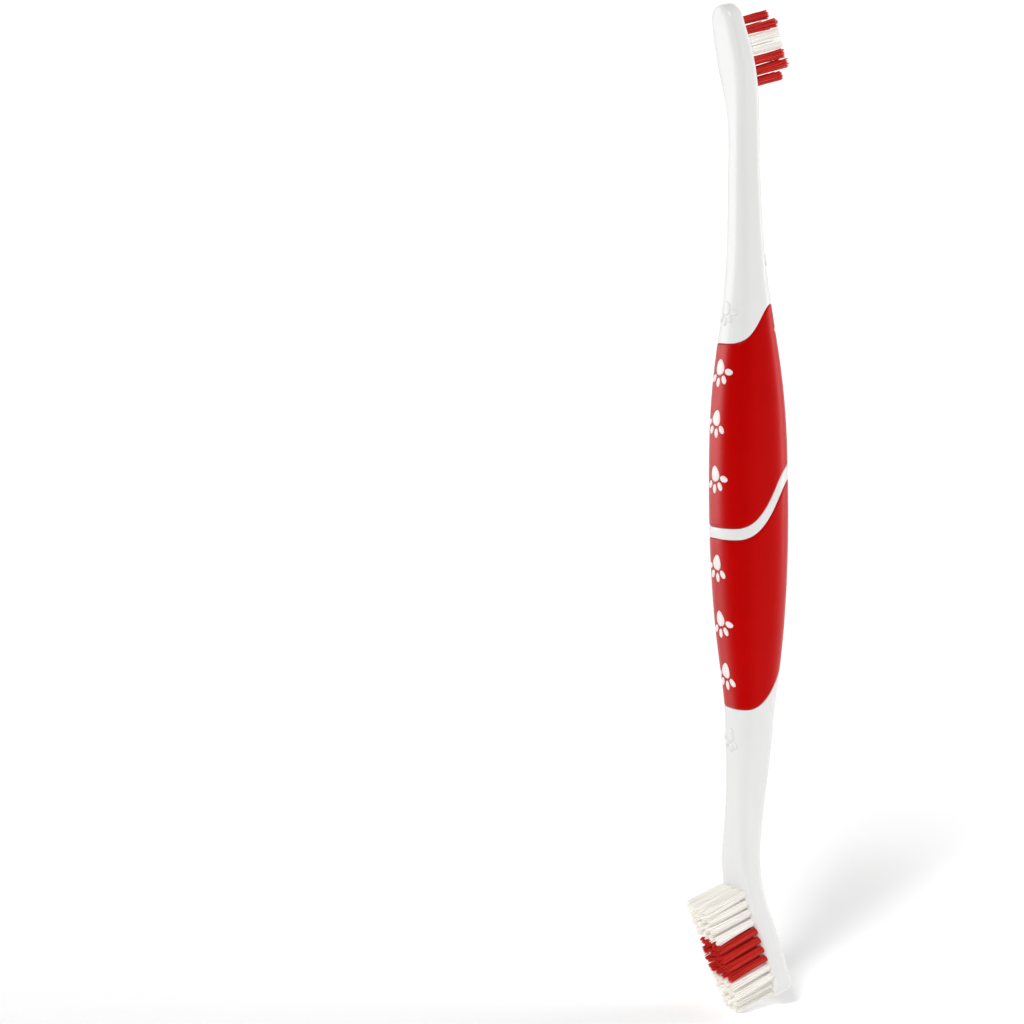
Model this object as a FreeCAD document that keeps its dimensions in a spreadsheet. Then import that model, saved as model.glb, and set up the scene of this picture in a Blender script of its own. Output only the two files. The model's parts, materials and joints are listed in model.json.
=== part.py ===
import FreeCAD, Part
import math
import os

# Double-ended pet toothbrush, millimetres.
#
# The handle stands along Z. The large head is at the bottom and its bristles
# point to -X, the small head is at the top and its bristles point to +X, and
# the width of the brush lies along Y. The origin is the middle of the grip.
# Each piece is its own document object, whose Label names its STEP file.

os.makedirs("parts", exist_ok=True)
doc = FreeCAD.newDocument("pet_toothbrush")
sheet = doc.addObject("Spreadsheet::Sheet", "dims")

VECTOR = FreeCAD.Vector
WIDTH_AXIS = VECTOR(0, 1, 0)

# ---------------------------------------------------------------- dimensions

# The handle's sections from the small head's end down to the large head's end:
# height, sideways offset, half depth (along X), half width (along Y) and how
# square the section is, where 2 is an ellipse and larger is nearer a box.
STATIONS = {
    "small_tip": (88.2, -3.45, 1.80, 3.76, 4.2),
    "small_middle": (84.2, -2.56, 1.95, 4.28, 4.2),
    "small_root": (79.3, -1.50, 2.12, 4.22, 4.2),
    "small_flare": (75.2, -0.78, 2.28, 3.50, 4.0),
    "upper_neck_top": (71.5, -0.45, 2.32, 2.95, 3.9),
    "upper_neck": (64.0, -0.38, 2.38, 2.82, 3.8),
    "upper_neck_foot": (53.0, -0.30, 2.70, 3.02, 3.6),
    "upper_shoulder": (43.5, -0.15, 3.30, 3.50, 3.3),
    "upper_swell": (36.0, 0.00, 4.30, 4.02, 3.0),
    "upper_grip_end": (30.5, 0.00, 5.12, 4.54, 3.0),
    "upper_grip": (24.0, 0.00, 6.02, 5.10, 3.0),
    "upper_palm": (15.5, 0.00, 6.80, 5.48, 3.0),
    "palm_top": (5.5, 0.00, 7.12, 5.62, 3.0),
    "palm_foot": (-5.5, 0.00, 7.12, 5.62, 3.0),
    "lower_palm": (-16.0, 0.00, 6.72, 5.46, 3.0),
    "lower_grip": (-25.0, 0.00, 6.02, 5.14, 3.0),
    "lower_grip_end": (-31.5, 0.00, 5.28, 4.70, 3.0),
    "lower_swell": (-38.0, -0.10, 4.50, 4.20, 3.0),
    "lower_shoulder": (-46.0, -0.45, 3.85, 3.82, 3.3),
    "lower_neck": (-55.0, -1.10, 3.20, 3.52, 3.6),
    "lower_neck_foot": (-62.5, -1.85, 2.75, 3.68, 3.8),
    "large_flare": (-68.5, -2.30, 2.42, 4.50, 4.0),
    "large_root": (-74.0, -1.70, 2.18, 5.10, 4.2),
    "large_middle": (-81.0, 0.60, 2.10, 5.28, 4.2),
    "large_narrow": (-87.0, 2.70, 2.10, 4.80, 4.2),
    "large_tip": (-91.7, 4.35, 2.10, 4.30, 4.2),
}
STATION_FIELDS = ("height", "offset", "depth", "breadth", "squareness")

# The red zones end on wave lines. Each runs level across the -X face, climbs
# the side of the handle and runs level again across the +X face.
WAVES = {
    "upper_end": {"low": 29.9, "high": 37.2, "start": -6.0, "finish": 3.6},
    "divide_upper": {"low": -4.25, "high": 7.05, "start": -5.8, "finish": 6.6},
    "divide_lower": {"low": -6.35, "high": 4.55, "start": -5.4, "finish": 7.0},
    "lower_end": {"low": -38.9, "high": -31.0, "start": -3.2, "finish": 6.2},
}

DIMENSIONS = {
    "rubber_thickness": 1.6,
    "emboss_height": 0.2,
    "wave_steepness": 0.62,
    "tool_reach": 12.0,
    "paw_pad_rise": 1.5,
    "paw_pad_side": 1.35,
    "paw_toe_rise": 0.9,
    "paw_toe_side": 0.6,
    "paw_toe_reach": 2.75,
    "paw_tilt": 16.0,
    "window_paw_share": 1.0,
    "raised_paw_share": 0.86,
    "small_row_pitch": 1.9,
    "large_row_pitch": 1.99,
    "small_column_pitch": 2.2,
    "large_column_pitch": 2.3,
    "small_tip_margin": 3.7,
    "large_tip_margin": 1.7,
    "hole_radius": 0.75,
    "hole_depth": 2.9,
    "hole_run_out": 1.8,
    "small_bristle": 7.0,
    "large_bristle": 8.5,
    "anchor_span": 1.9,
    "anchor_thickness": 0.35,
    "anchor_rise": 1.2,
}

# Heights of the paws on the -X face. The +X face has the same set turned half
# a turn about Y.
WINDOW_PAWS = (24.2, 14.8, 4.4, -12.3, -23.0, -33.0)
RAISED_PAWS = (35.2, -45.2)
TOE_ANGLES = (-148.0, -110.0, -70.0, -32.0)

# Tufts in each row, from the tip of the head to the neck, and the length of
# each row against the head's own bristle length.
SMALL_ROWS = ((2, 0.86), (3, 0.98), (3, 1.0), (3, 1.0), (3, 1.0), (3, 1.03), (3, 0.80))
LARGE_ROWS = ((2, 0.96), (3, 1.0), (4, 1.0), (4, 1.0), (4, 1.0), (4, 1.0),
              (4, 1.0), (4, 1.0), (4, 1.0), (4, 1.03), (4, 1.03), (4, 1.03))

next_line = 1


def put(alias, value):
    """Write one driving dimension in the sheet and give it its alias."""
    global next_line
    sheet.set(f"A{next_line}", alias)
    sheet.set(f"B{next_line}", str(value))
    sheet.setAlias(f"B{next_line}", alias)
    next_line += 1


for alias, value in DIMENSIONS.items():
    put(alias, value)
for station, values in STATIONS.items():
    for field, value in zip(STATION_FIELDS, values):
        put(f"{station}_{field}", value)
for wave, fields in WAVES.items():
    for field, value in fields.items():
        put(f"{wave}_{field}", value)
doc.recompute()


def dim(alias):
    """The value of one cell of the sheet."""
    return float(sheet.get(alias))


def bind(item, **cells):
    """Bind properties of a document object to cells of the sheet."""
    for prop, expression in cells.items():
        item.setExpression(prop, expression)


def feature(name, shape):
    """A document object that holds a shape worked out from the sheet."""
    item = doc.addObject("Part::Feature", name)
    item.Shape = shape
    return item


def combine(kind, name, base, tool):
    """A boolean of two document objects."""
    item = doc.addObject(f"Part::{kind}", name)
    item.Base = base
    item.Tool = tool
    return item


def group(name, members):
    """One compound of separate objects."""
    item = doc.addObject("Part::Compound", name)
    item.Links = members
    return item


# ----------------------------------------------------------- handle's outside

def station_centre(station):
    return VECTOR(dim(f"{station}_offset"), 0, dim(f"{station}_height"))


SPINE = Part.BSplineCurve()
SPINE.interpolate([station_centre(station) for station in STATIONS])


def station_axis(station):
    """Direction of the handle at a station, pointing to the large head."""
    return SPINE.tangent(SPINE.parameter(station_centre(station)))[0]


def depth_axis(station):
    """The section's depth direction, at right angles to the spine and to Y."""
    return WIDTH_AXIS.cross(station_axis(station)) * -1


# Points round each section. Its seam lies on the +Y side, clear of the paws and
# tufts.
SECTION_POINTS = 32
SEAM_TURN = 0.25


def section_wire(station, grow):
    """A rounded-square section, grown or shrunk all round by one amount."""
    depth = dim(f"{station}_depth") + grow
    breadth = dim(f"{station}_breadth") + grow
    power = dim(f"{station}_squareness")
    sideways = depth_axis(station)
    points = []
    for step in range(SECTION_POINTS):
        angle = 2 * math.pi * (step / SECTION_POINTS + SEAM_TURN)
        across = abs(math.cos(angle) / depth) ** power
        along = abs(math.sin(angle) / breadth) ** power
        radius = (across + along) ** (-1 / power)
        reach = sideways * (radius * math.cos(angle))
        rise = WIDTH_AXIS * (radius * math.sin(angle))
        points.append(station_centre(station) + reach + rise)
    curve = Part.BSplineCurve()
    curve.interpolate(Points=points, PeriodicFlag=True, Parameters=list(range(SECTION_POINTS + 1)))
    return Part.Wire([curve.toShape()])


def handle_loft(name, stations, grow):
    """A smooth solid through the sections of some stations."""
    sections = [feature(f"{name}_{station}", section_wire(station, grow)) for station in stations]
    loft = doc.addObject("Part::Loft", name)
    loft.Sections = sections
    loft.Solid = True
    return loft


def tip_cap(name, station, turn):
    """The rounded end of a head: half its end section turned half a circle."""
    centre = station_centre(station)
    reach = dim("tool_reach")
    half_space = Part.makeBox(2 * reach, reach, 2 * reach, VECTOR(-reach, 0, -reach) + centre)
    half_face = Part.Face(section_wire(station, 0)).common(half_space)
    return feature(name, half_face.revolve(centre, depth_axis(station), turn))


# The hard core under the rubber and the skin under the raised paws both end on
# the necks, a little way past the rubber and past the raised paws.
GRIP_REACH = 50.0
NECK_REACH = 60.0


def stations_within(reach):
    """Stations no further than this from the middle of the grip."""
    return [station for station in STATIONS if abs(dim(f"{station}_height")) < reach]



body_loft = handle_loft("body_loft", STATIONS, 0)
small_cap = tip_cap("small_cap", "small_tip", 180)
large_cap = tip_cap("large_cap", "large_tip", -180)
blank = doc.addObject("Part::MultiFuse", "handle_blank")
blank.Shapes = [body_loft, small_cap, large_cap]

hard_core = handle_loft("hard_core", stations_within(GRIP_REACH), -dim("rubber_thickness"))
raised_skin = handle_loft("raised_skin", stations_within(NECK_REACH), dim("emboss_height"))


# --------------------------------------------------------------- rubber zones

def wave_points(wave):
    """A wave line from -X to +X: level, an S-shaped climb, level again."""
    low = dim(f"{wave}_low")
    high = dim(f"{wave}_high")
    start = dim(f"{wave}_start")
    finish = dim(f"{wave}_finish")
    reach = dim("tool_reach")
    pull = dim("wave_steepness") * (finish - start)
    climb = Part.BezierCurve()
    climb.setPoles([VECTOR(start, 0, low), VECTOR(start + pull, 0, low),
                    VECTOR(finish - pull / 2, 0, high), VECTOR(finish, 0, high)])
    return VECTOR(-reach, 0, low), climb, VECTOR(reach, 0, high)


def zone_tool(name, upper_wave, lower_wave):
    """The slab between two wave lines, as thick as the tools reach along Y."""
    upper_left, upper_climb, upper_right = wave_points(upper_wave)
    lower_left, lower_climb, lower_right = wave_points(lower_wave)
    edges = [
        Part.makeLine(upper_left, upper_climb.StartPoint),
        upper_climb.toShape(),
        Part.makeLine(upper_climb.EndPoint, upper_right),
        Part.makeLine(upper_right, lower_right),
        Part.makeLine(lower_right, lower_climb.EndPoint),
        lower_climb.toShape(),
        Part.makeLine(lower_climb.StartPoint, lower_left),
        Part.makeLine(lower_left, upper_left),
    ]
    outline = feature(f"{name}_outline", Part.Wire(Part.__sortEdges__(edges)))
    slab = doc.addObject("Part::Extrusion", name)
    slab.Base = outline
    slab.DirMode = "Custom"
    slab.Dir = WIDTH_AXIS
    slab.Symmetric = True
    slab.Solid = True
    bind(slab, LengthFwd="2 * dims.tool_reach")
    return slab


# ----------------------------------------------------------------------- paws

def oval_prism(name, centre_y, centre_z, oval_kind, share, turn, facing):
    """A straight oval column along X, from the middle of the handle outwards."""
    oval = doc.addObject("Part::Ellipse", f"{name}_outline")
    bind(oval, MajorRadius=f"dims.{oval_kind}_rise * dims.{share}",
         MinorRadius=f"dims.{oval_kind}_side * dims.{share}")
    across = FreeCAD.Rotation(VECTOR(0, 0, 1), VECTOR(facing, 0, 0))
    lean = FreeCAD.Rotation(VECTOR(1, 0, 0), turn)
    upright = lean * align_major(across)
    oval.Placement = FreeCAD.Placement(VECTOR(0, centre_y, centre_z), upright)
    column = doc.addObject("Part::Extrusion", name)
    column.Base = oval
    column.DirMode = "Custom"
    column.Dir = VECTOR(facing, 0, 0)
    column.Solid = True
    bind(column, LengthFwd="dims.tool_reach")
    return column


def align_major(rotation):
    """Turn an ellipse in its own plane until its long axis points along Z."""
    long_axis = rotation.multVec(VECTOR(1, 0, 0))
    return FreeCAD.Rotation(long_axis, VECTOR(0, 0, 1)) * rotation


def paw_columns(name, height, lean, facing, share):
    """One paw: a large pad above four toes, which the lean turns sideways."""
    flip = 1 if facing < 0 else -1
    pad_centre = height + flip * dim("paw_pad_side") * dim(share)
    toe_reach = flip * dim("paw_toe_reach") * dim(share)
    columns = [oval_prism(f"{name}_pad", 0, pad_centre, "paw_pad", share, lean, facing)]
    for number, angle in enumerate(TOE_ANGLES, start=1):
        direction = math.radians(angle + lean)
        toe_y = toe_reach * math.cos(direction)
        toe_z = pad_centre + toe_reach * math.sin(direction)
        turn = (angle + lean + 90) * flip
        columns.append(oval_prism(f"{name}_toe_{number}", toe_y, toe_z, "paw_toe", share, turn, facing))
    return columns


def paw_set(name, heights, share):
    """The paws of both faces: the given heights on -X, the turned set on +X."""
    columns = []
    for number, height in enumerate(heights, start=1):
        lean = dim("paw_tilt") * (-1) ** number
        columns += paw_columns(f"{name}_{number}_left", height, lean, -1, share)
        columns += paw_columns(f"{name}_{number}_right", -height, lean, 1, share)
    return group(name, columns)


window_paws = paw_set("window_paws", WINDOW_PAWS, "window_paw_share")
raised_tools = paw_set("raised_paw_tools", RAISED_PAWS, "raised_paw_share")
raised_paws = combine("Common", "raised_paws", raised_skin, raised_tools)


def grip(name, upper_wave, lower_wave):
    """One rubber zone: a sleeve of the handle's outside with paw windows."""
    slab = zone_tool(f"{name}_zone", upper_wave, lower_wave)
    outside = combine("Common", f"{name}_outside", blank, slab)
    sleeve = combine("Cut", f"{name}_sleeve", outside, hard_core)
    sleeve_with_windows = combine("Cut", name, sleeve, window_paws)
    sleeve_with_windows.Label = name
    return sleeve_with_windows


grip_upper = grip("grip_upper", "upper_end", "divide_upper")
grip_lower = grip("grip_lower", "divide_lower", "lower_end")


# ---------------------------------------------------------- tufts and anchors

def face_point(station, facing):
    """The middle of the bristle side at one station of a head."""
    return station_centre(station) + depth_axis(station) * (facing * dim(f"{station}_depth"))


def tuft_places(head, rows, facing):
    """For each row, the points where its tufts leave the face of the head."""
    tip = face_point(f"{head}_tip", facing)
    inward = (face_point(f"{head}_root", facing) - tip).normalize()
    outward = inward.cross(WIDTH_AXIS)
    face = tip - inward * (dim(f"{head}_tip_breadth") - dim(f"{head}_tip_margin"))
    pitch = dim(f"{head}_row_pitch")
    places = []
    for row, (count, _) in enumerate(rows):
        middle = face + inward * (row * pitch)
        spread = [(column - (count - 1) / 2) * dim(f"{head}_column_pitch") for column in range(count)]
        places.append([middle + WIDTH_AXIS * across for across in spread])
    return places, outward, inward


def round_bar(name, place, outward, above):
    """A round bar from the bottom of a tuft hole to a height above the face."""
    bar = doc.addObject("Part::Cylinder", name)
    bind(bar, Radius="dims.hole_radius", Height=f"dims.hole_depth + {above}")
    foot = place - outward * dim("hole_depth")
    bar.Placement = FreeCAD.Placement(foot, FreeCAD.Rotation(VECTOR(0, 0, 1), outward))
    return bar


def anchor_plate(name, place, outward, inward):
    """The flat anchor across the bottom of a hole, its ends in the plastic."""
    plate = doc.addObject("Part::Box", name)
    bind(plate, Length="dims.anchor_thickness", Width="dims.anchor_span", Height="dims.anchor_rise")
    corner = place - outward * dim("hole_depth") - WIDTH_AXIS * (dim("anchor_span") / 2)
    corner = corner - inward * (dim("anchor_thickness") / 2)
    turn = FreeCAD.Rotation(inward, WIDTH_AXIS, outward, "ZXY")
    plate.Placement = FreeCAD.Placement(corner, turn)
    return plate


def dress_head(head, rows, facing, digits):
    """Holes, anchors and one object of tufts for each row of a head."""
    places, outward, inward = tuft_places(head, rows, facing)
    holes, plates, tuft_rows = [], [], []
    for number, (row_places, (_, length)) in enumerate(zip(places, rows), start=1):
        bars, row_plates = [], []
        for column, place in enumerate(row_places, start=1):
            tag = f"{head}_{number:02d}_{column}"
            bars.append(round_bar(f"{tag}_tuft", place, outward, f"{length} * dims.{head}_bristle"))
            holes.append(round_bar(f"{tag}_hole", place, outward, "dims.hole_run_out"))
            row_plates.append(anchor_plate(f"{tag}_anchor", place, outward, inward))
        name = f"{head}_head_row_{number:0{digits}d}"
        bundle = group(f"{name}_bars", bars)
        row = combine("Cut", name, bundle, group(f"{name}_slots", row_plates))
        row.Label = name
        tuft_rows.append(row)
        plates += row_plates
    anchors = group(f"{head}_head_anchors", plates)
    anchors.Label = f"{head}_head_anchors"
    return group(f"{head}_holes", holes), anchors, tuft_rows


small_holes, small_anchors, small_rows = dress_head("small", SMALL_ROWS, 1, 1)
large_holes, large_anchors, large_rows = dress_head("large", LARGE_ROWS, -1, 2)


# ---------------------------------------------------------------- handle core

core_upper = combine("Cut", "core_without_upper_grip", blank, grip_upper)
core_both = combine("Cut", "core_without_grips", core_upper, grip_lower)
core = combine("Fuse", "core_with_raised_paws", core_both, raised_paws)
for tool in (small_holes, large_holes, small_anchors, large_anchors):
    core = combine("Cut", f"core_less_{tool.Name}", core, tool)
core.Label = "handle_core"

# --------------------------------------------------------------- check, export

nodes = [core, grip_upper, grip_lower, small_anchors, large_anchors] + small_rows + large_rows
doc.recompute()

for item in doc.Objects:
    if {"Invalid", "Error"} & set(item.State):
        raise RuntimeError(f"{item.Name} failed: {item.State}")
for node in nodes:
    if node.Shape.isNull() or not node.Shape.isValid():
        raise RuntimeError(f"{node.Label} has no valid shape")
    node.Shape.exportStep(f"parts/{node.Label}.step")
    print(node.Label, len(node.Shape.Solids), "solids", round(node.Shape.Volume, 2), "mm3")
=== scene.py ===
import json
import math

import bmesh
import bpy
import numpy as np
from mathutils import Matrix, Quaternion, Vector
from mathutils.bvhtree import BVHTree


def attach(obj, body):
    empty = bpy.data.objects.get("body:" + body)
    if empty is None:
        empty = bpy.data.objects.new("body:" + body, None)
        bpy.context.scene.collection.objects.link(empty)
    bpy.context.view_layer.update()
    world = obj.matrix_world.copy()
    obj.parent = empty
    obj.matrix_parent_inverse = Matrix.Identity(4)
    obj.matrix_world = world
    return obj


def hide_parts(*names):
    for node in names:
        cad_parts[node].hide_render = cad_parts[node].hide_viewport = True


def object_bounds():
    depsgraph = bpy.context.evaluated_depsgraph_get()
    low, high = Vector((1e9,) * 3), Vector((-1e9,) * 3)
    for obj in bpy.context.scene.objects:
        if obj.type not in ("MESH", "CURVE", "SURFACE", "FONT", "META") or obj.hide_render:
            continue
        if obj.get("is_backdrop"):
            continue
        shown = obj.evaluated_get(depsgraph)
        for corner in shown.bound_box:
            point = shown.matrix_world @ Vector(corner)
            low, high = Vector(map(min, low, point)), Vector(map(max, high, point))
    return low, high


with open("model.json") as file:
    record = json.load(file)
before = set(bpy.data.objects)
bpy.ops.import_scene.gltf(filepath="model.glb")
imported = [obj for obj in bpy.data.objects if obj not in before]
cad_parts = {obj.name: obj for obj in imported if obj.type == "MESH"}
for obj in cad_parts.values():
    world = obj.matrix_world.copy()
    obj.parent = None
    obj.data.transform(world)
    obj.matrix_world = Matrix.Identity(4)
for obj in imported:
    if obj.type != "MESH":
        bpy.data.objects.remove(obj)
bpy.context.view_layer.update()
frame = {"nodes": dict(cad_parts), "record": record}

# Double-ended pet toothbrush, in metres. The handle stands along Z, the large
# head is at the bottom with its bristles to -X, the small head is at the top
# with its bristles to +X, and the width of the brush lies along Y.

MM = 0.001

# ---------------------------------------------------------------- dimensions

# The handle's sections from the large head's end up to the small head's end, in
# millimetres: height, sideways offset, half depth (along X), half width (along
# Y) and squareness, where 2 is an ellipse and larger is nearer a box.
STATIONS = {
    "large_tip": (-91.7, 4.35, 2.10, 4.30, 4.2),
    "large_narrow": (-87.0, 2.70, 2.10, 4.80, 4.2),
    "large_middle": (-81.0, 0.60, 2.10, 5.28, 4.2),
    "large_root": (-74.0, -1.70, 2.18, 5.10, 4.2),
    "large_flare": (-68.5, -2.30, 2.42, 4.50, 4.0),
    "lower_neck_foot": (-62.5, -1.85, 2.75, 3.68, 3.8),
    "lower_neck": (-55.0, -1.10, 3.20, 3.52, 3.6),
    "lower_shoulder": (-46.0, -0.45, 3.85, 3.82, 3.3),
    "lower_swell": (-38.0, -0.10, 4.50, 4.20, 3.0),
    "lower_grip_end": (-31.5, 0.00, 5.28, 4.70, 3.0),
    "lower_grip": (-25.0, 0.00, 6.02, 5.14, 3.0),
    "lower_palm": (-16.0, 0.00, 6.72, 5.46, 3.0),
    "palm_foot": (-5.5, 0.00, 7.12, 5.62, 3.0),
    "palm_top": (5.5, 0.00, 7.12, 5.62, 3.0),
    "upper_palm": (15.5, 0.00, 6.80, 5.48, 3.0),
    "upper_grip": (24.0, 0.00, 6.02, 5.10, 3.0),
    "upper_grip_end": (30.5, 0.00, 5.12, 4.54, 3.0),
    "upper_swell": (36.0, 0.00, 4.30, 4.02, 3.0),
    "upper_shoulder": (43.5, -0.15, 3.30, 3.50, 3.3),
    "upper_neck_foot": (53.0, -0.30, 2.70, 3.02, 3.6),
    "upper_neck": (64.0, -0.38, 2.38, 2.82, 3.8),
    "upper_neck_top": (71.5, -0.45, 2.32, 2.95, 3.9),
    "small_flare": (75.2, -0.78, 2.28, 3.50, 4.0),
    "small_root": (79.3, -1.50, 2.12, 4.22, 4.2),
    "small_middle": (84.2, -2.56, 1.95, 4.28, 4.2),
    "small_tip": (88.2, -3.45, 1.80, 3.76, 4.2),
}

# The rubber ends on wave lines: level across the -X face at the low height, an
# S-shaped climb between two places along X, then level at the high height.
WAVES = {
    "upper_end": (29.9, 37.2, -6.0, 3.6),
    "divide_upper": (-4.25, 7.05, -5.8, 6.6),
    "divide_lower": (-6.35, 4.55, -5.4, 7.0),
    "lower_end": (-38.9, -31.0, -3.2, 6.2),
}
WAVE_STEEPNESS = 0.62
CURVE_STEPS = 200
CROSSING_ROUNDS = 60

RUBBER_THICKNESS = 1.6
RUBBER_EDGE_RADIUS = 0.34
WHITE_EDGE_RADIUS = 0.16
SEAM_GAP = 0.05

# The grips' inner wall stands this far off the core.
CORE_CLEARANCE = 0.02

# Mesh density: columns round the handle, millimetres between its rings, and
# rings in each rounded end and rounded edge.
COLUMNS = 112
RING_SPACING = 0.62
CAP_RINGS = 14
ROUND_STEPS = 4
OUTLINE_POINTS = 36

# Edges sharper than these angles stay crisp, in degrees.
PIECE_CREASE = 32.0
FILAMENT_CREASE = 60.0

# Heights of the paws on the -X face. The +X face has the same set turned half a
# turn about Y.
WINDOW_PAWS = (24.2, 14.8, 4.4, -12.3, -23.0, -33.0)
RAISED_PAWS = (35.2, -45.2)
PAD_RISE, PAD_SIDE = 1.5, 1.35
TOE_RISE, TOE_SIDE = 0.9, 0.6
TOE_REACH = 2.75
TOE_ANGLES = (-148.0, -110.0, -70.0, -32.0)
PAW_TILT = 16.0
WINDOW_PAW_SHARE = 1.0
RAISED_PAW_SHARE = 0.86
PAD_LOBES = 0.07
WINDOW_GAP = 0.06

# How far from the handle's middle the window cutters start and end, and a
# distance that is well outside the handle.
WINDOW_REACHES = (2.0, 12.0)
OUTSIDE = 20.0

HOLE_RADIUS = 0.75
HOLE_DEPTH = 2.9
HOLE_CHAMFER = 0.09
HOLE_TOOL_RISE = 1.2

FILAMENTS_PER_TUFT = 42
FILAMENT_RADIUS = 0.088
FILAMENT_FOOT = 1.2

LARGE_ROW_COUNT = 12
SMALL_ROW_COUNT = 7
WHITE_LARGE_ROWS = {1, 2, 3, 4, 9, 10, 11, 12}
WHITE_SMALL_ROWS = {3, 4}

# ------------------------------------------------------------------ materials

POLYPROPYLENE_IOR = 1.49
RELIEF_STRENGTH = 0.6


def srgb(code):
    """Linear colour from an sRGB hex code."""
    channels = [int(code[start:start + 2], 16) / 255 for start in (0, 2, 4)]
    linear = [c / 12.92 if c <= 0.04045 else ((c + 0.055) / 1.055) ** 2.4 for c in channels]
    return (*linear, 1.0)


def connect(tree, node, inputs):
    """Give a node its inputs, each a value or an output to link."""
    for key, value in inputs.items():
        if isinstance(value, bpy.types.NodeSocket):
            tree.links.new(value, node.inputs[key])
        else:
            node.inputs[key].default_value = value


def add(tree, kind, inputs=None, **settings):
    """Add one node with its settings and its inputs."""
    node = tree.nodes.new(kind)
    for name, value in settings.items():
        setattr(node, name, value)
    connect(tree, node, inputs or {})
    return node


def new_material(name):
    """A material with its tree and its Principled shader."""
    material = bpy.data.materials.new(name)
    material.use_nodes = True
    return material, material.node_tree, material.node_tree.nodes["Principled BSDF"]


def grain(tree, millimetres, detail=2.0, stretch=(1.0, 1.0, 1.0)):
    """Noise whose features are this many millimetres across on the object."""
    place = add(tree, "ShaderNodeTexCoord").outputs["Object"]
    stretched = add(tree, "ShaderNodeVectorMath", {0: place, 1: stretch}, operation="MULTIPLY")
    noise = add(tree, "ShaderNodeTexNoise", {
        "Vector": stretched.outputs[0], "Scale": 1 / (millimetres * MM), "Detail": detail})
    return noise.outputs["Fac"]


def between(tree, factor, low, high):
    """A number that runs from low to high as the factor runs from 0 to 1."""
    spread = add(tree, "ShaderNodeMapRange", {"Value": factor, "To Min": low, "To Max": high})
    return spread.outputs["Result"]


def tinted(tree, factor, first, second):
    """A colour between two sRGB hex colours."""
    mix = add(tree, "ShaderNodeMix", {0: factor, 6: srgb(first), 7: srgb(second)}, data_type="RGBA")
    return mix.outputs[2]


def relief(tree, factor, depth):
    """Fine surface texture, its depth in millimetres."""
    bump = add(tree, "ShaderNodeBump", {
        "Height": factor, "Distance": depth * MM, "Strength": RELIEF_STRENGTH})
    return bump.outputs["Normal"]


def moulded_polypropylene():
    """Gloss white polypropylene from a polished injection mould: slightly
    translucent, with a faint flow mottling and a very fine orange peel."""
    material, tree, shader = new_material("polypropylene_gloss_injection_moulded")
    flow = grain(tree, 9.0, stretch=(1.0, 1.0, 0.35))
    connect(tree, shader, {
        "Base Color": tinted(tree, flow, "efefee", "e9e9e8"),
        "Roughness": between(tree, grain(tree, 2.2), 0.2, 0.27),
        "IOR": POLYPROPYLENE_IOR,
        "Specular IOR Level": 0.35,
        "Subsurface Weight": 0.12,
        "Subsurface Radius": (1.0, 0.95, 0.9),
        "Subsurface Scale": 0.9 * MM,
        "Normal": relief(tree, grain(tree, 1.4), 0.004)})
    return material


def moulded_pad_polypropylene():
    """The paw pads' polypropylene, tinted a little pink: a painted reflection of the red rubber round it."""
    material, tree, shader = new_material("polypropylene_gloss_paw_pads")
    connect(tree, shader, {
        "Base Color": tinted(tree, grain(tree, 1.8), "fbf3f1", "f6e8e6"),
        "Roughness": between(tree, grain(tree, 0.8), 0.24, 0.32),
        "IOR": POLYPROPYLENE_IOR,
        "Normal": relief(tree, grain(tree, 0.5), 0.004)})
    return material


def overmoulded_elastomer():
    """Red thermoplastic elastomer, overmoulded in a finely eroded mould, so its
    satin surface has a grain of about 0.12 mm and slow clouds in the gloss. The
    tinted highlights stand for light that is scattered just under the surface."""
    material, tree, shader = new_material("elastomer_red_satin_overmoulded")
    connect(tree, shader, {
        "Base Color": tinted(tree, grain(tree, 6.0), "c20303", "b40202"),
        "Roughness": between(tree, grain(tree, 3.5), 0.3, 0.38),
        "IOR": 1.5,
        "Specular IOR Level": 0.6,
        "Specular Tint": srgb("ff3a36"),
        "Normal": relief(tree, grain(tree, 0.12), 0.006)})
    return material


def extruded_nylon(name, dark, light, glow):
    """Extruded nylon filament: its tone differs a little from one to the next, and a little emission is a
    painted glow that stands for the light the filament carries along itself."""
    material, tree, shader = new_material(name)
    tone = add(tree, "ShaderNodeAttribute", attribute_name="tone").outputs["Fac"]
    streak = grain(tree, 0.5)
    mixed = add(tree, "ShaderNodeMath", {0: tone, 1: streak}, operation="MULTIPLY").outputs[0]
    connect(tree, shader, {
        "Base Color": tinted(tree, mixed, dark, light),
        "Roughness": between(tree, streak, 0.3, 0.4),
        "IOR": 1.53,
        "Subsurface Weight": 0.2,
        "Subsurface Radius": (1.0, 0.9, 0.8),
        "Subsurface Scale": 0.3 * MM,
        "Emission Color": srgb(light),
        "Emission Strength": glow})
    return material


def rolled_brass():
    """Flat brass wire, drawn and rolled, with fine scratches along its length."""
    material, tree, shader = new_material("brass_rolled_flat_wire")
    scratches = grain(tree, 0.08, stretch=(1.0, 0.08, 1.0))
    connect(tree, shader, {
        "Base Color": tinted(tree, scratches, "b8934a", "d8ba72"),
        "Roughness": between(tree, scratches, 0.25, 0.45),
        "Metallic": 1.0,
        "Normal": relief(tree, scratches, 0.003)})
    return material


def studio_paper():
    """Matt white background paper, with a little emission so that it stays white."""
    material, tree, shader = new_material("paper_white_matt")
    connect(tree, shader, {
        "Base Color": tinted(tree, grain(tree, 60.0), "ffffff", "fdfdfd"),
        "Roughness": 0.9,
        "Specular IOR Level": 0.1,
        "Emission Color": srgb("ffffff"),
        "Emission Strength": 0.12})
    return material


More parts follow.
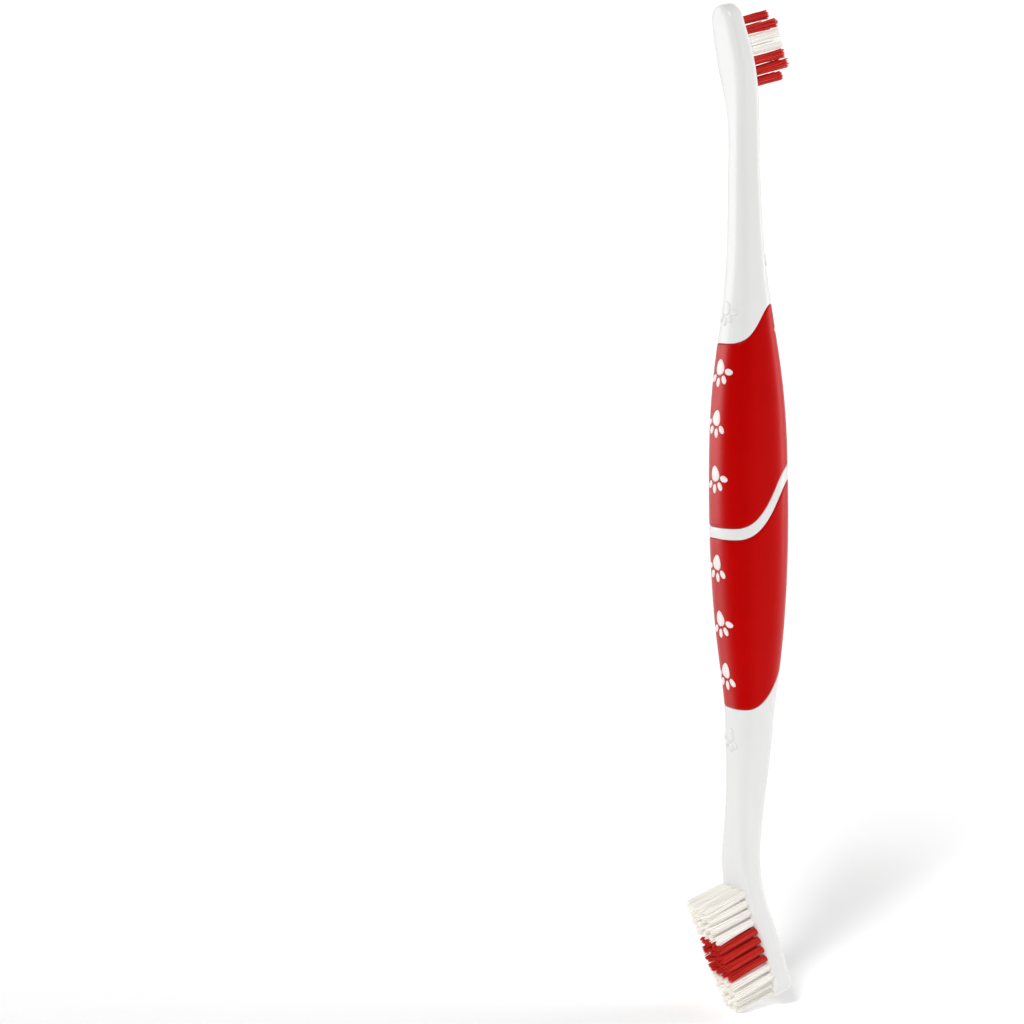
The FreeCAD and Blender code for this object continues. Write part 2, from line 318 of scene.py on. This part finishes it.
WHITE_PLASTIC = moulded_polypropylene()
PAD_PLASTIC = moulded_pad_polypropylene()
RED_RUBBER = overmoulded_elastomer()
WHITE_NYLON = extruded_nylon("nylon_filament_natural_white", "fffaf0", "ffffff", 0.08)
RED_NYLON = extruded_nylon("nylon_filament_dyed_red", "c8140c", "ff3a28", 0.02)
BRASS = rolled_brass()
PAPER = studio_paper()

# -------------------------------------------------------------- handle's skin

station_heights = np.array([values[0] for values in STATIONS.values()])
station_fields = np.array([values[1:] for values in STATIONS.values()])
COLUMN_ANGLES = np.linspace(0, 2 * math.pi, COLUMNS, endpoint=False)
TIP_HEIGHT = STATIONS["small_tip"][0]
FOOT_HEIGHT = STATIONS["large_tip"][0]


def spline_bends(knots, values):
    """Second derivatives at the knots of the natural cubic spline through them."""
    gaps = np.diff(knots)
    system = np.eye(len(knots))
    right = np.zeros_like(values)
    for i in range(1, len(knots) - 1):
        system[i, i - 1:i + 2] = gaps[i - 1], 2 * (gaps[i - 1] + gaps[i]), gaps[i]
        rise = (values[i + 1] - values[i]) / gaps[i]
        right[i] = 6 * (rise - (values[i] - values[i - 1]) / gaps[i - 1])
    return np.linalg.solve(system, right)


station_bends = spline_bends(station_heights, station_fields)


def profile(height):
    """Offset, half depth, half width and squareness at some heights."""
    height = np.clip(height, FOOT_HEIGHT, TIP_HEIGHT)
    left = np.clip(np.searchsorted(station_heights, height) - 1, 0, len(station_heights) - 2)
    gap = (station_heights[left + 1] - station_heights[left])[..., None]
    far = (height - station_heights[left])[..., None] / gap
    near = 1 - far
    straight = near * station_fields[left] + far * station_fields[left + 1]
    bend = (near ** 3 - near) * station_bends[left] + (far ** 3 - far) * station_bends[left + 1]
    return np.moveaxis(straight + bend * gap ** 2 / 6, -1, 0)


def across_and_along(height):
    """At some heights, the unit vectors across the spine (near +X) and along it."""
    step = 0.05
    below, above = np.clip((height - step, height + step), FOOT_HEIGHT, TIP_HEIGHT)
    slope = (profile(above)[0] - profile(below)[0]) / (above - below)
    flat = np.zeros_like(slope)
    length = np.hypot(1, slope)[..., None]
    across = np.stack([np.ones_like(slope), flat, -slope], axis=-1) / length
    along = np.stack([slope, flat, np.ones_like(slope)], axis=-1) / length
    return across, along


def skin(height, angle, inset=0.0):
    """Points of the handle's outside, or of a surface a little inside it."""
    height, angle = np.broadcast_arrays(np.asarray(height, float), angle)
    offset, depth, breadth, power = profile(height)
    across, _ = across_and_along(height)
    reach = (np.abs(np.cos(angle) / (depth - inset)) ** power
             + np.abs(np.sin(angle) / (breadth - inset)) ** power) ** (-1 / power)
    centre = np.stack([offset, np.zeros_like(offset), height], axis=-1)
    sideways = np.stack([np.zeros_like(offset), reach * np.sin(angle), np.zeros_like(offset)], axis=-1)
    return centre + across * (reach * np.cos(angle))[..., None] + sideways


def cap_rings(height, outward):
    """The rounded end of a head, from just past its end ring to the closing line:
    the end section's two halves, each turned a quarter of a circle."""
    ring = skin(height, COLUMN_ANGLES)
    _, along = across_and_along(np.array(height))
    rings = []
    for step in range(1, CAP_RINGS + 1):
        turn = 0.5 * math.pi * step / CAP_RINGS
        turned = ring + along * (outward * np.abs(ring[:, 1:2]) * math.sin(turn))
        turned[:, 1] = ring[:, 1] * math.cos(turn)
        rings.append(turned)
    return rings


def wave_heights(wave):
    """Where a wave line crosses each column of the skin."""
    low, high, start, finish = WAVES[wave]
    pull = WAVE_STEEPNESS * (finish - start)
    t = np.linspace(0, 1, CURVE_STEPS)[:, None]
    poles = np.array([(start, low), (start + pull, low), (finish - pull / 2, high), (finish, high)])
    weights = np.hstack([(1 - t) ** 3, 3 * t * (1 - t) ** 2, 3 * t ** 2 * (1 - t), t ** 3])
    climb = weights @ poles
    heights = np.full(COLUMNS, (low + high) / 2)
    for _ in range(CROSSING_ROUNDS):
        crossing = np.interp(skin(heights, COLUMN_ANGLES)[:, 0], climb[:, 0], climb[:, 1])
        heights = (heights + crossing) / 2
    return heights


def body_rings(first, last, inset=0.0):
    """Rings from one height to another, both ends included; each end is one
    height or one height for each column."""
    count = max(2, round(float(np.mean(np.abs(np.subtract(first, last)))) / RING_SPACING))
    return [skin(first + (last - first) * step / count, COLUMN_ANGLES, inset)
            for step in range(count + 1)]


def edge_rings(edge, direction, radius, depth):
    """A rounded edge, then the end wall from there in to a depth. The direction is
    +1 where the piece lies above the edge."""
    rings = []
    for step in range(1, ROUND_STEPS + 1):
        turn = 0.5 * math.pi * step / ROUND_STEPS
        height = edge + direction * radius * (1 - math.sin(turn))
        rings.append(skin(height, COLUMN_ANGLES, radius * (1 - math.cos(turn))))
    rings.append(skin(edge, COLUMN_ANGLES, depth))
    return rings


def ring_mesh(name, rings, closed_loop=False):
    """A mesh through rings of points, doubles merged and faces turned outwards."""
    points = np.concatenate(rings) * MM
    count = len(rings)
    faces = []
    for row in range(count if closed_loop else count - 1):
        following = (row + 1) % count
        for column in range(COLUMNS):
            beside = (column + 1) % COLUMNS
            faces.append((row * COLUMNS + column, row * COLUMNS + beside,
                          following * COLUMNS + beside, following * COLUMNS + column))
    return clean_mesh(name, points, faces)


def clean_mesh(name, points, faces):
    """A mesh with doubles merged and its faces turned outwards."""
    mesh = bpy.data.meshes.new(name)
    mesh.from_pydata([tuple(point) for point in points], [], faces)
    shape = bmesh.new()
    shape.from_mesh(mesh)
    bmesh.ops.remove_doubles(shape, verts=shape.verts, dist=0.002 * MM)
    bmesh.ops.recalc_face_normals(shape, faces=shape.faces)
    shape.to_mesh(mesh)
    shape.free()
    return mesh


def link(name, data, material=None):
    """An object for a mesh, a lamp or a camera, at the origin."""
    item = bpy.data.objects.new(name, data)
    bpy.context.scene.collection.objects.link(item)
    if material:
        data.materials.append(material)
    return item


def apply_modifiers(item):
    """An object's mesh with its modifiers applied; the object loses them."""
    bpy.context.view_layer.update()
    mesh = bpy.data.meshes.new_from_object(item.evaluated_get(bpy.context.evaluated_depsgraph_get()))
    item.modifiers.clear()
    return mesh


def carve(item, tool, operation):
    """Join a tool's solids to an object, or cut them out, and drop the tool."""
    modifier = item.modifiers.new("carve", "BOOLEAN")
    modifier.operation = operation
    modifier.solver = "MANIFOLD"
    modifier.object = tool
    carved = apply_modifiers(item)
    carved.name = item.data.name
    item.data = carved
    bpy.data.objects.remove(tool)


def smooth(item, degrees=PIECE_CREASE):
    """Smooth shading, with edges sharper than an angle left crisp."""
    item.data.polygons.foreach_set("use_smooth", [True] * len(item.data.polygons))
    item.data.set_sharp_from_angle(angle=math.radians(degrees))


def finish_piece(item, material, node):
    """Give a piece its material and body, and hide the CAD node it stands for."""
    item.data.materials.clear()
    item.data.materials.append(material)
    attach(item, "root")
    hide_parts(node)


# ----------------------------------------------------------------------- paws

plain_skin = ring_mesh("plain_skin", cap_rings(TIP_HEIGHT, 1)[::-1]
                       + body_rings(TIP_HEIGHT, FOOT_HEIGHT) + cap_rings(FOOT_HEIGHT, -1))
skin_tree = BVHTree.FromPolygons([vertex.co for vertex in plain_skin.vertices],
                                 [tuple(face.vertices) for face in plain_skin.polygons])


def pad_outline(rise, side, lobes):
    """An oval with its long axis upright; lobes make it a rounded triangle."""
    turns = np.linspace(0, 2 * math.pi, OUTLINE_POINTS, endpoint=False)
    swell = 1 - lobes * np.cos(3 * (turns + math.pi / 2))
    return np.stack([side * np.cos(turns) * swell, rise * np.sin(turns) * swell], axis=1)


def paw_ovals(height, lean, facing, share):
    """The centre, turn, size and lobes of each oval of one paw, in the plane of Y and Z."""
    flip = 1 if facing < 0 else -1
    pad_centre = height + flip * PAD_SIDE * share
    toe_reach = flip * TOE_REACH * share
    ovals = [((0.0, pad_centre), lean, PAD_RISE * share, PAD_SIDE * share, PAD_LOBES)]
    for angle in TOE_ANGLES:
        direction = math.radians(angle + lean)
        toe = (toe_reach * math.cos(direction), pad_centre + toe_reach * math.sin(direction))
        ovals.append((toe, (angle + lean + 90) * flip, TOE_RISE * share, TOE_SIDE * share, 0.0))
    return ovals


def paws(heights, share):
    """Every oval of the paws on both faces, with the side it faces."""
    for number, height in enumerate(heights, start=1):
        lean = PAW_TILT * (-1) ** number
        for facing, place in ((-1, height), (1, -height)):
            for oval in paw_ovals(place, lean, facing, share):
                yield facing, *oval


def placed_outline(centre, turn, rise, side, lobes, grow=0.0):
    """An oval's outline turned and moved to its place on the face."""
    angle = math.radians(turn)
    outline = pad_outline(rise + grow, side + grow, lobes)
    turning = np.array([(math.cos(angle), math.sin(angle)), (-math.sin(angle), math.cos(angle))])
    return outline @ turning + np.array(centre)


def stack_faces(rows, first):
    """Faces of a stack of outline rings, closed by one face at each end."""
    faces = [tuple(range(first, first + OUTLINE_POINTS))]
    for row in range(rows - 1):
        for column in range(OUTLINE_POINTS):
            beside = (column + 1) % OUTLINE_POINTS
            low, high = first + row * OUTLINE_POINTS, first + (row + 1) * OUTLINE_POINTS
            faces.append((low + column, low + beside, high + beside, high + column))
    last = first + (rows - 1) * OUTLINE_POINTS
    faces.append(tuple(range(last, last + OUTLINE_POINTS)))
    return faces


def on_skin(points, facing, lift):
    """Points of the skin straight over places in the plane of Y and Z, lifted."""
    lifted = []
    for y, z in points:
        start = Vector((facing * OUTSIDE, y, z)) * MM
        place, normal, _, _ = skin_tree.ray_cast(start, Vector((-facing, 0, 0)))
        if normal.x * facing < 0:
            normal = -normal
        lifted.append(tuple((place + normal * lift * MM) / MM))
    return lifted


# How a pad stands over the skin, from its buried foot to its crown: the share
# of the outline's size, and the height over the skin.
FLUSH_PAD = ((1.0, -2.0), (1.0, -0.05), (0.94, 0.03), (0.84, 0.07), (0.6, 0.1), (0.3, 0.12), (0.08, 0.12))
RAISED_PAD = ((1.0, -0.4), (1.0, 0.1), (0.94, 0.18), (0.84, 0.22), (0.6, 0.25), (0.3, 0.27), (0.08, 0.27))


def pad_solids(name, heights, share, levels):
    """Domed pads that follow the handle's curve, for every paw."""
    points, faces = [], []
    for facing, centre, turn, rise, side, lobes in paws(heights, share):
        outline = placed_outline(centre, turn, rise, side, lobes)
        faces += stack_faces(len(levels), len(points))
        for breadth, lift in levels:
            points += on_skin((outline - centre) * breadth + centre, facing, lift)
    return clean_mesh(name, np.array(points) * MM, faces)


def window_tools(name, heights, share):
    """Straight columns through the rubber, one for each oval of every paw."""
    points, faces = [], []
    for facing, centre, turn, rise, side, lobes in paws(heights, share):
        outline = placed_outline(centre, turn, rise, side, lobes, WINDOW_GAP)
        faces += stack_faces(2, len(points))
        for reach in WINDOW_REACHES:
            points += [(facing * reach, y, z) for y, z in outline]
    return clean_mesh(name, np.array(points) * MM, faces)


# ------------------------------------------------------------ tufts' measures


def islands(node):
    """The separate solids of a CAD node, each as an array of its points."""
    shape = bmesh.new()
    shape.from_mesh(frame["nodes"][node].data)
    bmesh.ops.remove_doubles(shape, verts=shape.verts, dist=0.001 * MM)
    left = set(shape.verts)
    found = []
    while left:
        front = [left.pop()]
        solid = []
        while front:
            vertex = front.pop()
            solid.append(tuple(vertex.co))
            for edge in vertex.link_edges:
                other = edge.other_vert(vertex)
                if other in left:
                    left.remove(other)
                    front.append(other)
        found.append(np.array(solid))
    shape.free()
    return sorted(found, key=lambda solid: solid[:, 1].mean())


def head_axes(mount_name):
    """A head's axes from its bristle field: width, along the head, outwards."""
    mount = next(m for m in frame["record"]["mounts"] if m["name"] == mount_name)
    outward = Vector(mount["axis"]).normalized()
    width = Vector((0, 1, 0))
    return np.array([width, outward.cross(width), outward])


def tuft_places(node, axes):
    """For each tuft of a row: its place on the head's face and its free length."""
    places = []
    for solid in islands(node):
        local = solid @ axes.T
        low, high = local.min(axis=0), local.max(axis=0)
        middle = (low + high) / 2
        face = low[2] + HOLE_DEPTH * MM
        places.append((Vector((middle[0], middle[1], face)), high[2] - face))
    return places


def head_rows(head, row_count, digits, white_rows):
    """For each row of a head: its axes, whether it is white, and its tufts."""
    axes = head_axes(f"{head}_bristle_field")
    rows = {}
    for number in range(1, row_count + 1):
        node = f"{head}_head_row_{number:0{digits}d}"
        rows[node] = (axes, number in white_rows, tuft_places(node, axes))
    return rows


ROWS = {**head_rows("large", LARGE_ROW_COUNT, 2, WHITE_LARGE_ROWS),
        **head_rows("small", SMALL_ROW_COUNT, 1, WHITE_SMALL_ROWS)}


def hole_tools(name):
    """Blind tuft holes of both heads, each with a small chamfer at its mouth."""
    levels = ((HOLE_RADIUS, -HOLE_DEPTH), (HOLE_RADIUS, -HOLE_CHAMFER),
              (HOLE_RADIUS + HOLE_CHAMFER, 0.0), (HOLE_RADIUS + HOLE_CHAMFER, HOLE_TOOL_RISE))
    turns = np.linspace(0, 2 * math.pi, OUTLINE_POINTS, endpoint=False)
    circle = np.stack([np.cos(turns), np.sin(turns)], axis=1)
    points, faces = [], []
    for axes, _, places in ROWS.values():
        for place, _ in places:
            faces += stack_faces(len(levels), len(points))
            for radius, level in levels:
                ring = np.hstack([circle * radius, np.full((OUTLINE_POINTS, 1), level)])
                points += [tuple(row) for row in (ring * MM + np.array(place)) @ axes]
    return clean_mesh(name, np.array(points), faces)


# ------------------------------------------------------------- handle and grips

EDGES = {wave: wave_heights(wave) for wave in WAVES}


def handle_core():
    """The white moulding: two heads and necks, the band between the grips, the
    core under the rubber, the raised paws and the tuft holes."""
    radius = WHITE_EDGE_RADIUS
    upper, band_top = EDGES["upper_end"], EDGES["divide_upper"]
    band_foot, lower = EDGES["divide_lower"], EDGES["lower_end"]
    rings = cap_rings(TIP_HEIGHT, 1)[::-1]
    rings += body_rings(TIP_HEIGHT, upper + radius)
    rings += edge_rings(upper, 1, radius, RUBBER_THICKNESS)
    rings += body_rings(upper, band_top, RUBBER_THICKNESS)[1:]
    rings += edge_rings(band_top, -1, radius, RUBBER_THICKNESS)[-2::-1]
    rings += body_rings(band_top - radius, band_foot + radius)
    rings += edge_rings(band_foot, 1, radius, RUBBER_THICKNESS)
    rings += body_rings(band_foot, lower, RUBBER_THICKNESS)[1:]
    rings += edge_rings(lower, -1, radius, RUBBER_THICKNESS)[-2::-1]
    rings += body_rings(lower - radius, FOOT_HEIGHT)
    rings += cap_rings(FOOT_HEIGHT, -1)
    core = link("handle_moulding", ring_mesh("handle_moulding", rings))
    raised_pads = pad_solids("raised_pads", RAISED_PAWS, RAISED_PAW_SHARE, RAISED_PAD)
    carve(core, link("raised_pads", raised_pads), "UNION")
    carve(core, link("tuft_holes", hole_tools("tuft_holes")), "DIFFERENCE")
    smooth(core)
    finish_piece(core, WHITE_PLASTIC, "handle_core")


def grip_sleeve(name, node, top_edge, foot_edge):
    """One rubber zone: a closed sleeve with rounded rims and paw windows."""
    top, foot = EDGES[top_edge] - SEAM_GAP, EDGES[foot_edge] + SEAM_GAP
    radius = RUBBER_EDGE_RADIUS
    rings = edge_rings(top, -1, radius, RUBBER_THICKNESS)[-2::-1]
    rings += body_rings(top - radius, foot + radius)
    rings += edge_rings(foot, 1, radius, RUBBER_THICKNESS - CORE_CLEARANCE)
    rings += body_rings(foot, top, RUBBER_THICKNESS - CORE_CLEARANCE)[1:]
    sleeve = link(name, ring_mesh(name, rings, closed_loop=True))
    windows = window_tools("windows", WINDOW_PAWS, WINDOW_PAW_SHARE)
    carve(sleeve, link("windows", windows), "DIFFERENCE")
    smooth(sleeve)
    finish_piece(sleeve, RED_RUBBER, node)


def window_pads():
    """The white pads that come up through the windows of the rubber."""
    pads = link("paw_pads", pad_solids("paw_pads", WINDOW_PAWS, WINDOW_PAW_SHARE, FLUSH_PAD))
    smooth(pads)
    finish_piece(pads, PAD_PLASTIC, "handle_core")


handle_core()
window_pads()
grip_sleeve("rubber_grip_upper", "grip_upper", "upper_end", "divide_upper")
grip_sleeve("rubber_grip_lower", "grip_lower", "divide_lower", "lower_end")

# --------------------------------------------------------------------- bristles

TUFT_INPUTS = {
    "Filaments": "NodeSocketInt",
    "Bundle Radius": "NodeSocketFloat",
    "Filament Radius": "NodeSocketFloat",
    "Length": "NodeSocketFloat",
    "Length Spread": "NodeSocketFloat",
    "Splay": "NodeSocketFloat",
    "Tuft Lean": "NodeSocketFloat",
    "Wander": "NodeSocketFloat",
    "Seed": "NodeSocketInt",
    "Material": "NodeSocketMaterial",
}
SAME_FOR_ALL_TUFTS = {
    "Filaments": FILAMENTS_PER_TUFT,
    "Bundle Radius": (HOLE_RADIUS - FILAMENT_RADIUS) * MM,
    "Filament Radius": FILAMENT_RADIUS * MM,
    "Length Spread": 0.05,
    "Splay": 0.2,
    "Tuft Lean": 0.22 * MM,
    "Wander": 0.13 * MM,
}
SUNFLOWER_TURN = math.radians(137.508)
LEAN_SALT = 11
WANDER_SALT = 23

# A filament's points crowd towards its end, it strays most at its end, and its
# last point, past this share of its length, is narrower by the taper.
FILAMENT_POINTS = 7
FILAMENT_SIDES = 6
END_CROWDING = 3.0
SWEEP_POWER = 1.6
LAST_POINT = 0.97
END_TAPER = 0.55


def calculate(tree, operation, first, second=0.0):
    """One step of arithmetic on numbers."""
    return add(tree, "ShaderNodeMath", {0: first, 1: second}, operation=operation).outputs[0]


def scaled(tree, vector, number):
    """A vector times a number."""
    return add(tree, "ShaderNodeVectorMath", {0: vector, "Scale": number}, operation="SCALE").outputs[0]


def summed(tree, first, second):
    """The sum of two vectors."""
    return add(tree, "ShaderNodeVectorMath", {0: first, 1: second}, operation="ADD").outputs[0]


def store(tree, geometry, name, value, kind="FLOAT_VECTOR"):
    """Keep a value on the points under a name."""
    kept = add(tree, "GeometryNodeStoreNamedAttribute",
               {"Geometry": geometry, "Name": name, "Value": value}, data_type=kind, domain="POINT")
    return kept.outputs["Geometry"]


def recall(tree, name, kind="FLOAT_VECTOR"):
    """Read back a value kept on the points."""
    return add(tree, "GeometryNodeInputNamedAttribute", {"Name": name}, data_type=kind).outputs["Attribute"]


def repeat_on(tree, points, instance):
    """Copies of a geometry on every point, made real."""
    copies = add(tree, "GeometryNodeInstanceOnPoints", {"Points": points, "Instance": instance})
    return add(tree, "GeometryNodeRealizeInstances", {"Geometry": copies.outputs[0]}).outputs[0]


def tuft_tree():
    """Geometry nodes that grow a tuft of filaments on every point of a mesh,
    along its local Z."""
    tree = bpy.data.node_groups.new("nylon_tufts", "GeometryNodeTree")
    tree.interface.new_socket("Geometry", in_out="INPUT", socket_type="NodeSocketGeometry")
    for name, kind in TUFT_INPUTS.items():
        tree.interface.new_socket(name, in_out="INPUT", socket_type=kind)
    tree.interface.new_socket("Geometry", in_out="OUTPUT", socket_type="NodeSocketGeometry")
    given = add(tree, "NodeGroupInput").outputs
    index = add(tree, "GeometryNodeInputIndex").outputs[0]

    def random_vector(salt):
        """A random vector across the tuft; each use has a salt of its own."""
        seed = calculate(tree, "ADD", given["Seed"], salt)
        limits = {0: (-1.0, -1.0, 0.0), 1: (1.0, 1.0, 0.0)}
        chosen = add(tree, "FunctionNodeRandomValue", {**limits, "Seed": seed}, data_type="FLOAT_VECTOR")
        return chosen.outputs[0]

    # Filament feet fill a disc evenly, like the seeds of a sunflower.
    share = calculate(tree, "DIVIDE", calculate(tree, "ADD", index, 0.5), given["Filaments"])
    radius = calculate(tree, "MULTIPLY", calculate(tree, "SQRT", share), given["Bundle Radius"])
    turn = calculate(tree, "MULTIPLY", index, SUNFLOWER_TURN)
    seat = add(tree, "ShaderNodeCombineXYZ", {
        "X": calculate(tree, "MULTIPLY", radius, calculate(tree, "COSINE", turn)),
        "Y": calculate(tree, "MULTIPLY", radius, calculate(tree, "SINE", turn))}).outputs[0]
    bundle = add(tree, "GeometryNodePoints", {"Count": given["Filaments"], "Position": seat}).outputs[0]
    bundle = store(tree, bundle, "spread", add(tree, "GeometryNodeInputPosition").outputs[0])

    # Each tuft leans a little, and each filament wanders and is cut on its own.
    lean = scaled(tree, random_vector(LEAN_SALT), given["Tuft Lean"])
    tufts = store(tree, given["Geometry"], "lean", lean)
    roots = repeat_on(tree, tufts, bundle)
    wander = scaled(tree, random_vector(WANDER_SALT), given["Wander"])
    stray = summed(tree, recall(tree, "lean"), wander)
    stray = summed(tree, stray, scaled(tree, recall(tree, "spread"), given["Splay"]))
    roots = store(tree, roots, "stray", stray)
    tone = add(tree, "FunctionNodeRandomValue",
               {2: 0.0, 3: 1.0, "Seed": given["Seed"]}, data_type="FLOAT").outputs[1]
    roots = store(tree, roots, "tone", tone, "FLOAT")

    # A filament is a line of points, closer together towards its tapered end.
    line = add(tree, "GeometryNodeCurvePrimitiveLine", {"End": (0.0, 0.0, 1.0)}).outputs[0]
    line = add(tree, "GeometryNodeResampleCurve", {"Curve": line, "Count": FILAMENT_POINTS}).outputs[0]
    strands = repeat_on(tree, roots, line)
    factor = add(tree, "GeometryNodeSplineParameter").outputs["Factor"]
    shortfall = calculate(tree, "SUBTRACT", 1.0, factor)
    rise = calculate(tree, "SUBTRACT", 1.0, calculate(tree, "POWER", shortfall, END_CROWDING))
    trim = calculate(tree, "MULTIPLY", recall(tree, "tone", "FLOAT"), given["Length Spread"])
    reach = calculate(tree, "MULTIPLY", given["Length"], calculate(tree, "SUBTRACT", 1.0, trim))
    climb = calculate(tree, "SUBTRACT", calculate(tree, "MULTIPLY", reach, rise), factor)
    sweep = scaled(tree, recall(tree, "stray"), calculate(tree, "POWER", rise, SWEEP_POWER))
    offset = summed(tree, sweep, add(tree, "ShaderNodeCombineXYZ", {"Z": climb}).outputs[0])
    strands = add(tree, "GeometryNodeSetPosition", {"Geometry": strands, "Offset": offset}).outputs[0]

    ring = add(tree, "GeometryNodeCurvePrimitiveCircle", {
        "Resolution": FILAMENT_SIDES, "Radius": given["Filament Radius"]})
    at_end = calculate(tree, "GREATER_THAN", factor, LAST_POINT)
    width = calculate(tree, "SUBTRACT", 1.0, calculate(tree, "MULTIPLY", at_end, END_TAPER))
    tubes = add(tree, "GeometryNodeCurveToMesh", {
        "Curve": strands, "Profile Curve": ring.outputs["Curve"],
        "Scale": width, "Fill Caps": True}).outputs[0]
    tubes = add(tree, "GeometryNodeRealizeInstances", {"Geometry": tubes}).outputs[0]
    coloured = {"Geometry": tubes, "Material": given["Material"]}
    tubes = add(tree, "GeometryNodeSetMaterial", coloured).outputs[0]
    add(tree, "NodeGroupOutput", {"Geometry": tubes})
    return tree


TUFT_TREE = tuft_tree()
SOCKETS = {item.name: item.identifier for item in TUFT_TREE.interface.items_tree
           if item.item_type == "SOCKET" and item.in_out == "INPUT"}


def bristle_row(node, seed):
    """The tufts of one row, standing in for its CAD node."""
    axes, is_white, places = ROWS[node]
    feet = bpy.data.meshes.new(node)
    feet.from_pydata([place - Vector((0, 0, FILAMENT_FOOT * MM)) for place, _ in places], [], [])
    row = link(node.replace("_row_", "_bristles_"), feet)
    nylon, slot = (WHITE_NYLON, "white_nylon") if is_white else (RED_NYLON, "red_nylon")
    length = places[0][1] + FILAMENT_FOOT * MM
    settings = {**SAME_FOR_ALL_TUFTS, "Length": length, "Seed": seed, "Material": nylon}
    modifier = row.modifiers.new("tufts", "NODES")
    modifier.node_group = TUFT_TREE
    for name, value in settings.items():
        modifier[SOCKETS[name]] = value
    grown = apply_modifiers(row)
    grown.transform(Matrix(axes).transposed().to_4x4())
    row.data = grown
    smooth(row, FILAMENT_CREASE)
    finish_piece(row, nylon, node)


for seed, node in enumerate(ROWS, start=1):
    bristle_row(node, seed)

for node in ("large_head_anchors", "small_head_anchors"):
    anchors = frame["nodes"][node].data
    anchors.materials.clear()
    anchors.materials.append(BRASS)

# ----------------------------------------------------------- floor and backdrop

FLOOR_WIDTH = 6.0
FLOOR_FRONT = -1.6
WALL_PLACE = 1.5
WALL_HEIGHT = 2.2
SWEEP_RADIUS = 0.7
CAMERA_TURN = math.radians(-30.0)


def backdrop():
    """White paper that runs back from under the brush and curves up behind it."""
    arc = [math.radians(angle) for angle in range(0, 91, 6)]
    side = [(FLOOR_FRONT, 0.0)]
    side += [(WALL_PLACE - SWEEP_RADIUS + SWEEP_RADIUS * math.sin(angle),
              SWEEP_RADIUS * (1 - math.cos(angle))) for angle in arc]
    side.append((WALL_PLACE, WALL_HEIGHT))
    points = [(x, y, z) for y, z in side for x in (-FLOOR_WIDTH / 2, FLOOR_WIDTH / 2)]
    faces = [(2 * row, 2 * row + 1, 2 * row + 3, 2 * row + 2) for row in range(len(side) - 1)]
    mesh = bpy.data.meshes.new("backdrop")
    mesh.from_pydata(points, [], faces)
    mesh.transform(Matrix.Translation((0, 0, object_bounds()[0][2])) @ Matrix.Rotation(CAMERA_TURN, 4, "Z"))
    paper = link("backdrop", mesh, PAPER)
    paper.data.polygons.foreach_set("use_smooth", [True] * len(mesh.polygons))
    paper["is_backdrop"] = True


backdrop()

# ------------------------------------------------------------- camera and light


def place_lamp(name, lamp, place):
    """Put a lamp in its place, facing the middle of the grip."""
    item = link(name, lamp)
    item.location = place
    item.rotation_mode = "QUATERNION"
    item.rotation_quaternion = (Vector((0, 0, 0)) - item.location).to_track_quat("-Z", "Y")


def softbox(name, place, width, height, watts):
    """A rectangular studio light that faces the middle of the grip."""
    lamp = bpy.data.lights.new(name, "AREA")
    lamp.shape = "RECTANGLE"
    lamp.size, lamp.size_y = width, height
    lamp.energy = watts
    place_lamp(name, lamp, place)


CAMERA_DISTANCE = 0.4283
CAMERA_HEIGHT = 0.0476
CAMERA_SWING = math.radians(5.96)
CAMERA_PITCH = math.radians(6.5)
CAMERA_ROLL = math.radians(1.13)
SENSOR_WIDTH = 36.0
LENS = 80.2


def camera():
    """The camera, a little above the middle of the grip, which stands right of
    the centre of its view."""
    data = bpy.data.cameras.new("camera")
    data.sensor_width = SENSOR_WIDTH
    data.lens = LENS
    item = link("camera", data)
    away = Vector((math.sin(CAMERA_TURN), -math.cos(CAMERA_TURN), 0))
    item.location = away * CAMERA_DISTANCE + Vector((0, 0, CAMERA_HEIGHT))
    heading = CAMERA_TURN + CAMERA_SWING
    level = math.cos(CAMERA_PITCH)
    forward = Vector((-math.sin(heading) * level, math.cos(heading) * level, -math.sin(CAMERA_PITCH)))
    item.rotation_mode = "QUATERNION"
    item.rotation_quaternion = forward.to_track_quat("-Z", "Y") @ Quaternion((0, 0, 1), -CAMERA_ROLL)
    bpy.context.scene.camera = item


def sunlight(name, azimuth, elevation, spread, strength):
    """An even, distant light. The azimuth is measured from +X towards +Y."""
    lamp = bpy.data.lights.new(name, "SUN")
    lamp.angle = math.radians(spread)
    lamp.energy = strength
    turn, rise = math.radians(azimuth), math.radians(elevation)
    place_lamp(name, lamp, (math.cos(turn) * math.cos(rise), math.sin(turn) * math.cos(rise), math.sin(rise)))


SKY_STRENGTH = 0.25

camera()
sunlight("key", azimuth=224.0, elevation=45.0, spread=12.0, strength=1.55)
softbox("left", (-0.75, 0.25, 0.35), width=0.6, height=0.8, watts=0.25)
softbox("left_rear", (-0.5, 0.75, 0.1), width=0.4, height=0.7, watts=1.9)
softbox("right", (0.6, -0.2, 0.15), width=0.22, height=0.6, watts=1.9)

world = bpy.data.worlds.new("studio")
bpy.context.scene.world = world
world.use_nodes = True
sky = world.node_tree.nodes["Background"]
sky.inputs["Color"].default_value = srgb("ffffff")
sky.inputs["Strength"].default_value = SKY_STRENGTH
bpy.context.scene.view_settings.view_transform = "Standard"
